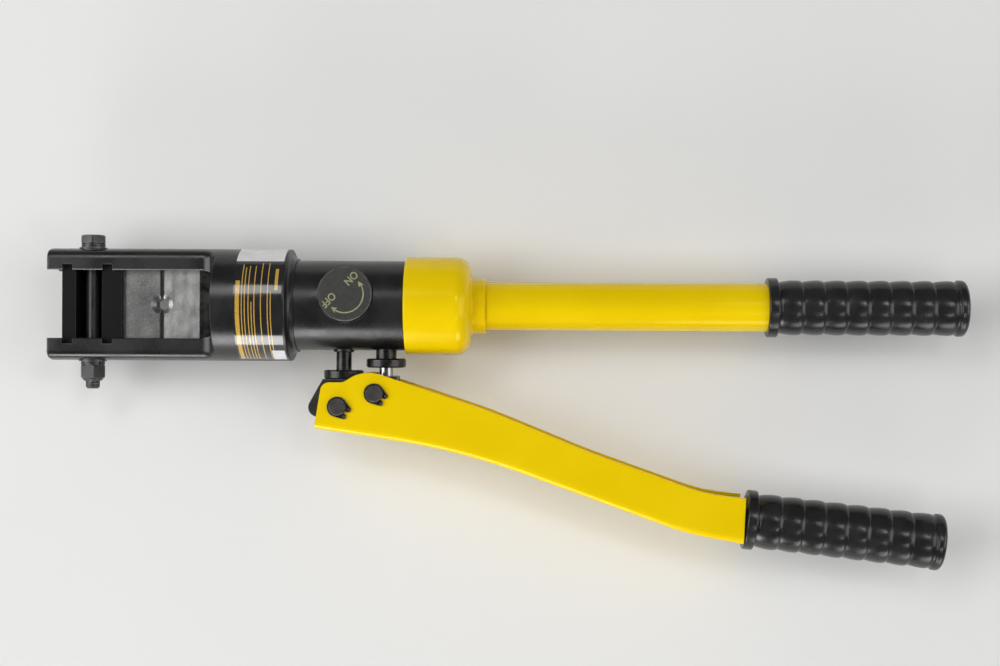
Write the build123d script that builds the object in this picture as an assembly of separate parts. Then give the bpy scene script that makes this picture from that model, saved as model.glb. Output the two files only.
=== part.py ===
from build123d import *
import os
from math import atan2, cos, degrees, hypot, radians, sin, sqrt

# Hydraulic crimping tool, lying on its side, in millimetres.
# X runs along the tool's axis from the head to the handles, Y across it away from the pump
# lever, and Z up. The origin is the centre of the crimping nest between the two dies.

# Clearances
press_gap = 0.05        # round pieces that are pressed or screwed together
running_gap = 0.05      # round pieces that slide or turn in each other
free_gap = 0.3          # pieces that pass each other without touching
nut_gap = 0.05          # a hexagon or washer round a bolt

# Head: a thick tube, bored right through and milled flat on two sides at its front
ram_bore = 46.0
head_wall = 9.5         # round the bore
head_d = ram_bore + 2 * head_wall
flat_half = 12.5        # half the distance across the milled flats
head_front = -65.0
barrel_front = 33.0     # where the full round barrel starts
flat_runout = 8.0       # radius that the cutter leaves at the end of the flats
head_rear = 78.5
head_step = 3.5         # concave step from the barrel down to the pump body
head_edge = 0.8
head_rear_wall = 2.2    # round the pump body's spigot
spigot_depth = 2.0      # how much wider than the bore the spigot is
spigot_d = ram_bore + 2 * spigot_depth
head_step_d = spigot_d + 2 * head_rear_wall
arris_round = 5.0       # along the outer edges of the flats
arris_chamfer = 0.9     # along their inner edges
ear_round = 1.2         # round the front ends of the ears
bolt_seat_depth = 1.1   # of the flat seats of the cross bolt
bolt_seat = head_d / 2 - bolt_seat_depth

# Dies: one hexagon nest shared by two blocks
die_length = 21.4       # along the axis
die_width = 45.0
die_thickness = 12.0
die_end_gap = 0.35      # the ends are turned to pass along the bore
die_end_d = ram_bore - 2 * die_end_gap
die_gap = 1.7           # between the two dies at rest
nest_flats = 5.7        # across the flats of the closed nest
nest_mouth_d = 11.0     # countersink round the nest
nest_mouth_depth = 1.6
die_edge = 0.6
dowel_d = 4.0
dowel_length = 9.0

# Crosshead: the upper die's seat, held in the ears by two pairs of breech lugs
crosshead_rear = -57.0
crosshead_half = 9.0
lug_height = 3.0
lug_width = 5.5
lug_starts = (-56.0, -33.0)
bolt_groove = 15.0      # width of the groove across it in which the cross bolt lies
bolt_groove_round = 4.0
bolt_groove_gap = 1.0   # between the groove's floor and the bolt

# Cross bolt, M8
bolt_x = -41.5
bolt_d = 8.0
bolt_hole_d = 9.0
bolt_tip = -49.0
hex_flats = 13.0
hex_corner_d = 14.6
bolt_head_height = 5.3
bolt_head_turn = 20.0
nut_height = 9.5
nut_collar = 2.4        # the round locking collar at the end of the nut
nut_collar_d = 11.6
nut_turn = 8.0
flat_washer_d = 16.0
flat_washer_height = 1.6
lock_washer_d = 13.6
lock_washer_height = 2.0
lock_washer_slit = 1.2

# Ram, with its seals and its return spring
ram_length = 24.0
ram_stroke_back = 15.35
seal_groove_start = 36.0
seal_width = 4.0
backup_width = 1.5
seal_depth = 3.4
ram_edge = 1.0
ram_flat_half = 8.5     # half the thickness of the ram's milled front end
ram_flat_length = 10.5
spring_mandrel_d = 9.2
spring_mandrel_length = 7.0
anchor_screw_d = 8.0
anchor_screw_length = 9.0
spring_wire = 1.6
spring_turns = 8
anchor_bush_length = 6.0
oil_hole_d = 4.0

# Pump body
body_d = 52.0
body_rear = 141.3
spigot_length = 14.5    # front thread, in the head
cap_thread_d = 48.0     # rear thread, in the cap
cap_thread_length = 13.7
spring_bore_d = 18.0
spring_bore_end = 98.0
head_seal_d = 1.9
head_seal_at = 68.0

# Valve drillings
gallery_y = 5.0
gallery_d = 3.0
valve_bore_d = 7.0
ball_d = 5.0
outlet_seat_x = 122.5
outlet_screw_end = 106.0
outlet_screw_length = 5.0
intake_seat_x = 146.5
intake_spring_stop = 136.5
seat_screw_d = 10.0
ball_lift = 0.8
valve_spring_d = 4.4
valve_spring_wire = 0.7
valve_spring_turns = 4
relief_x = 88.0
relief_seat_z = -10.5
relief_bore_d = 6.0
relief_screw_d = 10.0
relief_screw_length = 7.5
relief_passage_d = 2.5
relief_socket_flats = 5.0
relief_return_z = -16.0

# Release valve: a knob and its spindle on a ball seat
knob_x = 108.4
knob_y = 6.0
knob_d = 31.0
knob_stand = 2.0        # how far the knob stands out of the pump body
knob_top = body_d / 2 + knob_stand
knob_height = 6.0
knob_edge = 0.5
knob_seat_d = 32.0
spindle_d = 10.0
spindle_tip_d = 6.0
spindle_square = 7.0
spindle_thread_end = 11.5
release_seat_z = 5.0
release_ball_d = 4.0
release_return_z = 9.0
release_bore_d = 7.0
spindle_seal_depth = 8.5    # below the top of the pump body
spindle_seal_z = body_d / 2 - spindle_seal_depth
spindle_seal_d = 1.6

# Plunger and gland
plunger_x = 129.5
plunger_d = 8.0
plunger_top = -1.7
plunger_chamber_d = 6.0
gland_d = 23.0
gland_face = -30.8
gland_height = 5.2
gland_neck_d = 12.0
gland_top = -18.0
plunger_seal_height = 2.5
eye_round = 7.6
eye_half = 11.0
eye_top = -41.0
eye_land = 14.0         # width of the head's flat top round the plunger

# Fulcrum: a post, a lock nut and a bracket below the pump body
post_x = 104.9
post_d = 9.0
post_top = -14.0
post_collar_d = 12.0
post_collar_top = -25.4
post_collar_height = 1.8
post_screwed_in = 8.0   # length of the post in the bracket
lock_nut_d = 23.0
lock_nut_top = -37.6
lock_nut_height = 5.0
bracket_half = 11.0
bracket_left = 94.0
bracket_right = 113.0
bracket_boss = 10.0     # radius round the fulcrum pin
nose_x = 91.2
nose_y = -58.9
nose_round = 5.5

# Pins of the pump lever
fulcrum_x = 103.0
fulcrum_y = -58.4
drive_x = 124.1
drive_y = -50.7
pin_d = 10.0
pin_end = 17.8
circlip_thickness = 1.1
circlip_groove_d = 9.0
circlip_width = 1.3     # where it is narrowest
circlip_ear = 1.3
circlip_ear_at = 6.9
circlip_hole_d = 1.2
circlip_opening = 44.0  # angle between the two ears
circlip_turn = -35.0
circlip_gap = 1.6       # between the two ears

# Travel of the pump lever and the plunger, from the position modelled
lever_open = 42.0
lever_close = 8.0
plunger_per_radian = 21.9

# Pump lever: a pressed channel, its web on the side away from the body
sheet = 3.0
over_cut = 20.0         # how far the channel's hollow is cut past its ends and its top
channel_half = 15.5
bend_round = 4.0
front_top = (93.9, -44.4)
dip = (106.5, -44.4)
hump = (117.5, -36.6)
shoulder = (190.5, -60.4)
back_upper = (247.8, -83.8)
tail_upper = (313.8, -107.1)
front_bottom = (89.6, -71.1)
belly = (173.2, -83.6)
tail_lower = (302.7, -130.3)
channel_end_height = 26.6
channel_end_slope = -2.5    # of the channel's end, a little steeper than the grip's collar
channel_end_gap = 1.5       # between the channel and the collar
front_round = 5.0
dip_round = 7.3
hump_round = 21.0
belly_round = 395.0
shoulder_round = 400.0
back_round = 400.0
tail_lower_round = 150.0
tail_upper_round = 90.0
notch_behind_pin = 3.0  # how far the web is cut away behind the fulcrum pin
notch_round = 3.0

# Grips, the same moulding on both handles
tube_d = 28.0           # of the tubes that the grips are pushed on
grip_length = 116.4
grip_collar = 6.0
grip_collar_wall = 3.3
grip_neck = 1.6
grip_neck_wall = 1.1
rib_count = 8
rib_pitch = 12.7
rib_peak = 0.72         # where in its pitch a rib is highest
rib_wall = 0.95         # in the valleys between the ribs
rib_height = 1.35       # before the crown is rounded
rib_crown = 9.0
grip_flange = 6.2
grip_flange_wall = 2.5
grip_dome = 2.6
grip_end_wall = 6.0
handle_grip_x = 350.9
lever_grip_x = 338.7
lever_grip_y = -123.4
lever_grip_slope = -6.5

# Handle tube, lever tube, reservoir cap and bladder
tube_wall = 2.5
tongue_length = 22.0    # of the lever tube, inside the channel
tongue_height = 16.0
tongue_round = 4.0
cap_d = 57.0
cap_rear = 178.9
cap_shoulder = 9.0
cap_neck_wall = 2.0
cap_neck_d = tube_d + 2 * cap_neck_wall
cap_neck_end = 187.6
cap_neck_blend = 2.2
cap_front_edge = 0.8
cap_inner_d = 42.0
cap_throat_start = 165.0
tube_front = 174.0
bladder_wall = 1.5
bladder_flange = 3.0
bladder_gap = 0.7       # between the bladder and the tube
bladder_d = tube_d - 2 * (tube_wall + bladder_gap)
bladder_end = 330.0
bladder_round = 8.0     # at its closed end
bladder_inner_round = 7.0

# Directions in which a body that is made along X can be turned
TURN_TO = {"X": Rot(0, 0, 0), "Y": Rot(0, 0, 90), "Z": Rot(0, -90, 0)}


def outline(*corners):
    """A closed face from corners (x, y) or (x, y, radius)."""
    points = [corner[:2] for corner in corners]
    radii = [corner[2] if len(corner) > 2 else 0 for corner in corners]
    return make_face(FilletPolyline(*points, radius=radii, close=True))


def along(point, other, distance):
    """The point that lies at a distance from one point towards another."""
    run = hypot(other[0] - point[0], other[1] - point[1])
    share = distance / run
    return point[0] + share * (other[0] - point[0]), point[1] + share * (other[1] - point[1])


def chamfered(corners):
    """The corners with each (x, y, cut) replaced by the two ends of its chamfer."""
    points = []
    for before, corner, after in zip(corners[-1:] + corners[:-1], corners, corners[1:] + corners[:1]):
        if len(corner) > 2:
            points += [along(corner, before, corner[2]), along(corner, after, corner[2])]
        else:
            points.append(corner)
    return points


def turned(*corners, axis="X", at=(0, 0, 0), rounded=False):
    """A body of revolution from corners (place on the axis, radius), chamfered or rounded where
    they have a third value."""
    profile = outline(*corners) if rounded else outline(*chamfered(corners))
    return Pos(*at) * TURN_TO[axis] * revolve(profile, Axis.X)


def bar(diameter, start, end, axis="X", at=(0, 0, 0)):
    """A round bar or a drilling from start to end along the axis."""
    return turned((start, 0), (start, diameter / 2), (end, diameter / 2), (end, 0), axis=axis, at=at)


def ring(outer, inner, start, end, axis="X", at=(0, 0, 0)):
    """A plain ring or sleeve."""
    corners = ((start, inner / 2), (start, outer / 2), (end, outer / 2), (end, inner / 2))
    return turned(*corners, axis=axis, at=at)


def o_ring(bore, cord, place, axis="X", at=(0, 0, 0)):
    """A round-section seal whose hole is bore wide."""
    seal = Rot(0, 90, 0) * Torus((bore + cord) / 2, cord / 2)
    return Pos(*at) * TURN_TO[axis] * Pos(place, 0, 0) * seal


def hexagon(flats, start, end, turn, at=(0, 0, 0)):
    """A hexagonal bar along Y, its ends chamfered as on a nut."""
    section = Rot(0, 0, turn) * RegularPolygon(flats / 2, 6, major_radius=False)
    prism = extrude(Plane.XZ.offset(-start) * section, start - end)
    corner = hex_corner_d / 2
    tip = flats / 2 - 0.4
    slope = 0.8
    cone = turned(
        (start, 0), (start, tip), (start + slope, corner), (end - slope, corner), (end, tip), (end, 0),
        axis="Y",
    )
    return Pos(*at) * (prism & cone)


def coil(wire, mean_d, start, end, turns, axis="X", at=(0, 0, 0)):
    """A helical spring of square-drawn wire between two places on the axis."""
    length = end - start - wire
    path = Helix(length / turns, length, mean_d / 2, direction=(1, 0, 0))
    section = Plane(origin=path @ 0, z_dir=path % 0, x_dir=(1, 0, 0)) * Rectangle(wire, wire)
    spring = sweep(section, path, is_frenet=True)
    return Pos(*at) * TURN_TO[axis] * Pos(start + wire / 2, 0, 0) * spring


def ball_rise(ball, hole):
    """How far a ball's centre stands off the edge of the hole that it closes."""
    return sqrt((ball / 2) ** 2 - (hole / 2) ** 2) + running_gap


# Head and crosshead
def ear_section():
    """The head across its milled flats: a round bar with two flats, its four long edges rounded."""
    section = Circle(head_d / 2) & Rectangle(head_d + 2, 2 * flat_half)
    return fillet(section.vertices(), arris_round)


def milled_side(section):
    """What a form cutter takes off one side of the barrel where a flat runs out."""
    outer = head_d / 2
    edge_height = outer * (flat_half - arris_round) / (outer - arris_round)
    cutter_centre = flat_half + flat_runout
    height = cutter_centre - edge_height
    above = Pos(0, (cutter_centre + edge_height) / 2) * Rectangle(head_d + 4, height) - section
    flat_end = barrel_front - flat_runout
    runout = revolve(Plane(origin=(0, 0, 0), x_dir=(0, 1, 0), z_dir=(1, 0, 0)) * above,
                     Axis((0, 0, cutter_centre), (0, -1, 0)), revolution_arc=90)
    wall = Box(flat_runout, head_d + 4, outer, align=(Align.MIN, Align.CENTER, Align.MIN))
    return Pos(flat_end, 0, 0) * (runout + Pos(0, 0, cutter_centre) * wall)


def make_head():
    outer = head_d / 2
    step_x = head_rear - head_step
    step_r = head_step_d / 2
    step_blend = min(head_step, outer - step_r - head_edge) - 0.1
    flat_end = barrel_front - flat_runout
    body = turned(
        (flat_end, 0), (flat_end, outer), (step_x, outer, head_edge), (step_x, step_r, step_blend),
        (head_rear, step_r), (head_rear, 0), rounded=True,
    )
    section = ear_section()
    side = milled_side(section)
    body -= side
    body -= Rot(180, 0, 0) * side
    across = Plane(origin=(head_front, 0, 0), x_dir=(0, 1, 0), z_dir=(1, 0, 0))
    ears = extrude(across * section, flat_end - head_front)
    ears = fillet(ears.faces().sort_by(Axis.X)[0].edges(), ear_round)
    body += ears

    body -= bar(ram_bore, head_front - 1, head_rear - spigot_length)
    corner_y = sqrt((ram_bore / 2) ** 2 - flat_half ** 2)
    for y in (-corner_y, corner_y):
        for z in (-flat_half, flat_half):
            edge = Rot(45, 0, 0) * Box(flat_end - head_front, sqrt(2) * arris_chamfer, sqrt(2) * arris_chamfer)
            body -= Pos((flat_end + head_front) / 2, y, z) * edge
    body -= bar(spigot_d, head_rear - spigot_length, head_rear + 1)
    for start in lug_starts:
        body -= bar(ram_bore + 2 * lug_height, start, start + lug_width + free_gap)
    body -= bar(bolt_hole_d, -outer - 1, outer + 1, axis="Y", at=(bolt_x, 0, 0))
    for side in (-1, 1):
        seat = bar(flat_washer_d + 1, bolt_seat, outer + 1, axis="Y", at=(bolt_x, 0, 0))
        body -= seat if side > 0 else Rot(180, 0, 0) * seat
    return body


def make_crosshead():
    seat = -die_gap / 2 - die_length
    radius = ram_bore / 2 - free_gap
    body = turned((crosshead_rear, 0), (crosshead_rear, radius, 1.0), (seat, radius, 0.6), (seat, 0))
    lug_d = ram_bore + 2 * (lug_height - free_gap)
    for start in lug_starts:
        body += bar(lug_d, start, start + lug_width)
    length = seat - crosshead_rear
    middle = (seat + crosshead_rear) / 2
    body &= Pos(middle, 0, 0) * Box(length, lug_d, 2 * crosshead_half)
    floor = -(bolt_d / 2 + bolt_groove_gap)
    side = bolt_groove / 2
    high = crosshead_half + 1
    groove = outline((-side, high), (-side, floor, bolt_groove_round), (side, floor, bolt_groove_round), (side, high))
    body -= Pos(bolt_x, 0, 0) * Rot(90, 0, 0) * extrude(groove, lug_d, both=True)
    return body - bar(dowel_d, seat - dowel_length / 2, seat)


# Dies
def make_die():
    """The die on the ram's side, with its parting face at half the gap from the nest's centre."""
    near = die_gap / 2
    far = near + die_length
    width = die_width / 2
    corner = die_edge
    body = extrude(outline((near, -width), (far, -width), (far, width), (near, width)), die_thickness / 2, both=True)
    body &= bar(die_end_d, near, far)
    for side in (-1, 1):
        half = side * die_thickness / 2
        edge = Rot(0, 45, 0) * Box(corner * sqrt(2), die_width + 2, corner * sqrt(2))
        body -= Pos(near, 0, half) * edge
    corners = nest_flats / sqrt(3)
    nest = Pos(near, 0, 0) * Rot(0, 0, 30) * RegularPolygon(corners, 6)
    body -= extrude(nest, die_thickness, both=True)
    for side in (-1, 1):
        half = side * die_thickness / 2
        inner = half - side * nest_mouth_depth
        mouth = turned(
            (inner, 0), (inner, nest_flats / 2), (half, nest_mouth_d / 2), (half + side, nest_mouth_d / 2),
            (half + side, 0), axis="Z", at=(near, 0, 0),
        )
        body -= mouth
    return body - bar(dowel_d, far, far - dowel_length / 2)


def make_dowel():
    """The dowel between the ram and its die."""
    seat = die_gap / 2 + die_length
    reach = dowel_length / 2 - free_gap
    radius = dowel_d / 2 - press_gap
    return turned((seat - reach, 0), (seat - reach, radius, 0.5), (seat + reach, radius, 0.5), (seat + reach, 0))


# Cross bolt and what is on it
def make_cross_bolt():
    under_head = bolt_seat + flat_washer_height + lock_washer_height
    at = (bolt_x, 0, 0)
    radius = bolt_d / 2
    shank = turned((bolt_tip, 0), (bolt_tip, radius, 1.0), (under_head, radius), (under_head, 0), axis="Y", at=at)
    return shank + hexagon(hex_flats, under_head, under_head + bolt_head_height, bolt_head_turn, at=at)


def make_nut():
    top = -(bolt_seat + flat_washer_height + lock_washer_height)
    bottom = top - nut_height
    at = (bolt_x, 0, 0)
    body = hexagon(hex_flats, bottom + nut_collar - 1, top, nut_turn, at=at)
    radius = nut_collar_d / 2
    body += turned((bottom, 0), (bottom, radius, 0.9), (bottom + nut_collar, radius), (bottom + nut_collar, 0),
                   axis="Y", at=at)
    return body - bar(bolt_d + 2 * nut_gap, bottom - 1, top + 1, axis="Y", at=at)


def make_flat_washers():
    hole = bolt_d + 2 * nut_gap
    washer = ring(flat_washer_d, hole, bolt_seat, bolt_seat + flat_washer_height, axis="Y", at=(bolt_x, 0, 0))
    return [washer, Rot(180, 0, 0) * washer]


def make_lock_washers():
    inner = bolt_seat + flat_washer_height
    hole = bolt_d + 2 * nut_gap
    at = (bolt_x, 0, 0)
    washer = ring(lock_washer_d, hole, inner, inner + lock_washer_height, axis="Y", at=at)
    slit = Rot(0, 40, 0) * Box(lock_washer_d, 4 * lock_washer_height, lock_washer_slit)
    washer -= Pos(bolt_x, inner, 0) * Rot(0, 40, 0) * Pos(lock_washer_d / 2, 0, 0) * Rot(0, -40, 0) * slit
    return [washer, Rot(180, 0, 0) * washer]


# Ram and return spring
ram_front = die_gap / 2 + die_length
ram_rear = ram_front + ram_length
bush_rear = spring_bore_end - 1.0
bush_front = bush_rear - anchor_bush_length


def make_ram():
    radius = ram_bore / 2 - running_gap
    body = turned((ram_front, 0), (ram_front, radius, ram_edge), (ram_rear, radius, ram_edge), (ram_rear, 0))
    for side in (-1, 1):
        middle = side * (ram_flat_half + ram_bore / 4)
        body -= Pos(ram_front, 0, middle) * Box(2 * ram_flat_length, ram_bore, ram_bore / 2)
    groove_end = seal_groove_start + seal_width + backup_width + 0.2
    body -= ring(ram_bore, ram_bore - 2 * seal_depth, seal_groove_start, groove_end)
    body -= bar(dowel_d, ram_front, ram_front + dowel_length / 2)
    return body - bar(anchor_screw_d, ram_rear - anchor_screw_length, ram_rear)


def make_ram_seal():
    """A lipped seal, its lips open towards the oil."""
    outer = ram_bore / 2 - running_gap
    inner = ram_bore / 2 - seal_depth + running_gap
    start = seal_groove_start + backup_width + 0.1
    end = start + seal_width
    middle = (outer + inner) / 2
    return turned((start, inner), (start, outer), (end, outer), (end, outer - 0.8), (end - 2.0, middle),
                  (end, inner + 0.8), (end, inner))


def make_backup_ring():
    start = seal_groove_start + 0.05
    return ring(ram_bore - 2 * running_gap, ram_bore - 2 * (seal_depth - running_gap), start, start + backup_width)


def make_ram_anchor():
    """The screw in the ram that the return spring is wound on."""
    screw_r = anchor_screw_d / 2 - press_gap
    mandrel_r = spring_mandrel_d / 2
    end = ram_rear + spring_mandrel_length
    start = ram_rear - anchor_screw_length + free_gap
    return turned((start, 0), (start, screw_r, 0.6), (ram_rear, screw_r), (ram_rear, mandrel_r),
                  (end, mandrel_r, 0.6), (end, 0))


def make_anchor_bush():
    """The bush at the bottom of the spring bore, drilled for the oil."""
    radius = spring_bore_d / 2 - press_gap
    mandrel_r = spring_mandrel_d / 2
    start = bush_front - spring_mandrel_length
    body = turned((start, 0), (start, mandrel_r, 0.6), (bush_front, mandrel_r), (bush_front, radius, 0.5),
                  (bush_rear, radius, 0.5), (bush_rear, 0))
    return body - bar(oil_hole_d, start - 1, bush_rear + 1)


def make_return_spring():
    mean = spring_mandrel_d + spring_wire + 2 * running_gap + 0.2
    return coil(spring_wire, mean, ram_rear + 0.5, bush_front - 0.5, spring_turns)


# Pump body
body_front = head_rear - spigot_length
cap_thread_end = body_rear + cap_thread_length
gallery = (0, gallery_y, 0)
knob_at = (knob_x, knob_y, 0)
plunger_at = (plunger_x, 0, 0)
relief_at = (relief_x, 0, 0)
plunger_stop = plunger_top + plunger_per_radian * radians(lever_close) + free_gap


def make_pump_body():
    spigot_r = spigot_d / 2 - press_gap
    thread_r = cap_thread_d / 2 - press_gap
    body = turned(
        (body_front, 0), (body_front, spigot_r, 0.8), (head_rear, spigot_r), (head_rear, body_d / 2),
        (body_rear, body_d / 2, 0.5), (body_rear, thread_r), (cap_thread_end, thread_r, 0.8), (cap_thread_end, 0),
    )
    body -= ring(spigot_d + 1, spigot_d - 2 * head_seal_d, head_seal_at - 1.3, head_seal_at + 1.3)
    body -= bar(spring_bore_d, body_front - 1, spring_bore_end)

    # Outlet: from the plunger's chamber forward to the spring bore
    body -= bar(valve_bore_d, spring_bore_end - 1, outlet_seat_x, at=gallery)
    body -= bar(gallery_d, outlet_seat_x - 1, plunger_x, at=gallery)

    # Intake: from the reservoir forward to the plunger's chamber
    body -= bar(seat_screw_d, intake_seat_x, cap_thread_end + 1, at=gallery)
    body -= bar(valve_bore_d, intake_spring_stop, intake_seat_x + 1, at=gallery)
    body -= bar(gallery_d, plunger_x, intake_spring_stop + 1, at=gallery)

    # Plunger's chamber, bore and gland
    body -= bar(plunger_chamber_d, plunger_stop - 1, gallery_y, axis="Y", at=plunger_at)
    body -= bar(plunger_d + 2 * running_gap, gland_top, plunger_stop, axis="Y", at=plunger_at)
    body -= bar(gland_neck_d, -body_d, gland_top + plunger_seal_height, axis="Y", at=plunger_at)

    # Release valve
    body -= bar(knob_seat_d, knob_top - knob_height - free_gap, body_d, axis="Z", at=knob_at)
    body -= bar(spindle_d, spindle_thread_end, body_d, axis="Z", at=knob_at)
    body -= bar(release_bore_d, release_seat_z, spindle_thread_end + 1, axis="Z", at=knob_at)
    body -= bar(gallery_d, 0, release_seat_z + 1, axis="Z", at=knob_at)
    body -= bar(gallery_d, knob_x, cap_thread_end + 1, at=(0, knob_y, release_return_z))

    # Relief valve, on the far side from the knob
    body -= bar(relief_screw_d, -body_d, relief_seat_z - relief_screw_length, axis="Z", at=relief_at)
    body -= bar(relief_bore_d, relief_seat_z - relief_screw_length - 1, relief_seat_z, axis="Z", at=relief_at)
    body -= bar(relief_passage_d, relief_seat_z - 1, 0, axis="Z", at=relief_at)
    body -= bar(gallery_d, relief_x, cap_thread_end + 1, at=(0, 0, relief_return_z))

    # Seat and thread of the fulcrum post
    body -= bar(post_collar_d + 1, -body_d, post_collar_top, axis="Y", at=(post_x, 0, 0))
    return body - bar(post_d, -body_d, post_top, axis="Y", at=(post_x, 0, 0))


def make_intake_seat():
    """The hollow screw whose inner end is the intake ball's seat."""
    radius = seat_screw_d / 2 - press_gap
    start = intake_seat_x
    end = cap_thread_end - 1.0
    body = turned((start, 0), (start, radius, 0.3), (end, radius, 0.5), (end, 0), at=gallery)
    body -= bar(gallery_d, start - 1, end + 1, at=gallery)
    slot = Box(2.0, seat_screw_d + 2, 1.6)
    return body - Pos(end - 0.5, gallery_y, 0) * slot


def make_outlet_screw():
    """The hollow screw that holds the outlet spring."""
    radius = valve_bore_d / 2 - press_gap
    start = outlet_screw_end - outlet_screw_length
    body = turned((start, 0), (start, radius, 0.4), (outlet_screw_end, radius, 0.3), (outlet_screw_end, 0), at=gallery)
    return body - bar(gallery_d, start - 1, outlet_screw_end + 1, at=gallery)


outlet_ball_x = outlet_seat_x - ball_rise(ball_d, gallery_d)
intake_ball_x = intake_seat_x - ball_rise(ball_d, gallery_d)
relief_ball_z = relief_seat_z - ball_rise(release_ball_d, relief_passage_d)
release_ball_z = release_seat_z + ball_rise(release_ball_d, gallery_d)


def make_outlet_spring():
    end = outlet_ball_x - ball_d / 2
    return coil(valve_spring_wire, valve_spring_d, outlet_screw_end + 0.1, end - 0.1, 2 * valve_spring_turns, at=gallery)


def make_intake_spring():
    end = intake_ball_x - ball_d / 2
    return coil(valve_spring_wire, valve_spring_d, intake_spring_stop + 0.1, end - 0.1, valve_spring_turns, at=gallery)


def make_relief_spring():
    start = relief_seat_z - relief_screw_length + 0.1
    end = relief_ball_z - release_ball_d / 2 - 0.1
    return coil(valve_spring_wire, valve_spring_d, start, end, valve_spring_turns, axis="Z", at=relief_at)


def make_relief_screw():
    radius = relief_screw_d / 2 - press_gap
    top = relief_seat_z - relief_screw_length
    bottom = -body_d / 2 + 0.8
    body = turned((bottom, 0), (bottom, radius, 0.6), (top, radius, 0.4), (top, 0), axis="Z", at=relief_at)
    socket = extrude(RegularPolygon(relief_socket_flats / 2, 6, major_radius=False), 4.0)
    return body - Pos(relief_x, 0, bottom) * socket


def make_head_seal():
    return o_ring(spigot_d - 2 * head_seal_d + 0.1, head_seal_d - 0.1, head_seal_at)


# Release valve
def make_knob():
    bottom = knob_top - knob_height
    body = turned((bottom, 0), (bottom, knob_d / 2, knob_edge), (knob_top, knob_d / 2, knob_edge), (knob_top, 0),
                  axis="Z", at=knob_at)
    side = spindle_square + 2 * press_gap
    depth = knob_height * 0.6
    return body - Pos(knob_x, knob_y, bottom + depth / 2) * Box(side, side, depth)


def make_spindle():
    """The valve screw: a square in the knob, a thread, a seal groove and a tip on the ball."""
    shoulder_z = knob_top - knob_height
    radius = spindle_d / 2 - running_gap
    tip_r = spindle_tip_d / 2
    tip_z = release_ball_z + release_ball_d / 2 + running_gap
    body = turned((tip_z, 0), (tip_z, tip_r, 0.6), (spindle_thread_end + 0.5, tip_r),
                  (spindle_thread_end + 0.5, radius), (shoulder_z - free_gap, radius, 0.5),
                  (shoulder_z - free_gap, 0), axis="Z", at=knob_at)
    groove = spindle_seal_d + 0.2
    body -= ring(spindle_d, spindle_d - 2 * spindle_seal_d, spindle_seal_z - groove / 2,
                 spindle_seal_z + groove / 2, axis="Z", at=knob_at)
    reach = knob_height * 0.6 - free_gap
    square = Box(spindle_square, spindle_square, reach + free_gap)
    return body + Pos(knob_x, knob_y, shoulder_z + (reach - free_gap) / 2) * square


def make_spindle_seal():
    bore = spindle_d - 2 * spindle_seal_d + 0.05
    return o_ring(bore, spindle_seal_d - 0.1, spindle_seal_z, axis="Z", at=knob_at)


# Fulcrum
def make_post():
    radius = post_d / 2 - press_gap
    collar_end = post_collar_top - post_collar_height
    bracket_top = lock_nut_top - lock_nut_height
    bottom = bracket_top - post_screwed_in
    return turned(
        (bottom, 0), (bottom, radius, 0.8), (collar_end, radius), (collar_end, post_collar_d / 2, 0.5),
        (post_collar_top, post_collar_d / 2), (post_collar_top, radius), (post_top - free_gap, radius, 0.8),
        (post_top - free_gap, 0), axis="Y", at=(post_x, 0, 0),
    )


def make_lock_nut():
    bottom = lock_nut_top - lock_nut_height
    return turned(
        (bottom, post_d / 2), (bottom, lock_nut_d / 2, 0.7), (lock_nut_top, lock_nut_d / 2, 0.7),
        (lock_nut_top, post_d / 2), axis="Y", at=(post_x, 0, 0),
    )


def make_bracket():
    top = lock_nut_top - lock_nut_height
    edge = Line((bracket_left, top), (bracket_right, top))
    nose = Pos(nose_x, nose_y) * Circle(nose_round)
    boss = Pos(fulcrum_x, fulcrum_y) * Circle(bracket_boss)
    body = extrude(make_hull([edge, *nose.edges(), *boss.edges()]), bracket_half, both=True)
    body -= bar(post_d, top - post_screwed_in - 0.5, top + 1, axis="Y", at=(post_x, 0, 0))
    return body - bar(pin_d + 2 * running_gap, -2 * bracket_half, 2 * bracket_half, axis="Z",
                      at=(fulcrum_x, fulcrum_y, 0))


# Plunger and gland
def pin_offset(angle):
    """Where the drive pin stands from its place at rest when the lever is turned by angle degrees."""
    dx = drive_x - fulcrum_x
    dy = drive_y - fulcrum_y
    c = cos(radians(angle))
    s = sin(radians(angle))
    return dx * c - dy * s - dx, dx * s + dy * c - dy


def eye_slot():
    """The left and right ends of the drive pin's path across the plunger's eye."""
    level = -degrees(atan2(drive_y - fulcrum_y, drive_x - fulcrum_x))
    offsets = [pin_offset(angle)[0] for angle in (-lever_open, level, lever_close)]
    return drive_x + min(offsets), drive_x + max(offsets)


slot_d = pin_d + 2 * free_gap
plunger_foot = drive_y + slot_d / 2 + 0.8


def make_plunger():
    radius = plunger_d / 2
    return turned((plunger_foot, 0), (plunger_foot, radius, 0.4), (plunger_top, radius, 0.8), (plunger_top, 0),
                  axis="Y", at=plunger_at)


def make_plunger_head():
    """The head on the plunger, with a slotted eye for the drive pin."""
    left, right = eye_slot()
    lobes = [Pos(left, drive_y) * Circle(eye_round), Pos(plunger_x, drive_y) * Circle(eye_round)]
    land = Line((plunger_x - eye_land / 2, eye_top), (plunger_x + eye_land / 2, eye_top))
    body = extrude(make_hull([land, *lobes[0].edges(), *lobes[1].edges()]), eye_half, both=True)
    slot = Pos((left + right) / 2, drive_y) * SlotCenterToCenter(right - left, slot_d)
    body -= extrude(slot, 2 * eye_half, both=True)
    return body - bar(plunger_d + 2 * press_gap, plunger_foot, eye_top + 1, axis="Y", at=plunger_at)


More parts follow.
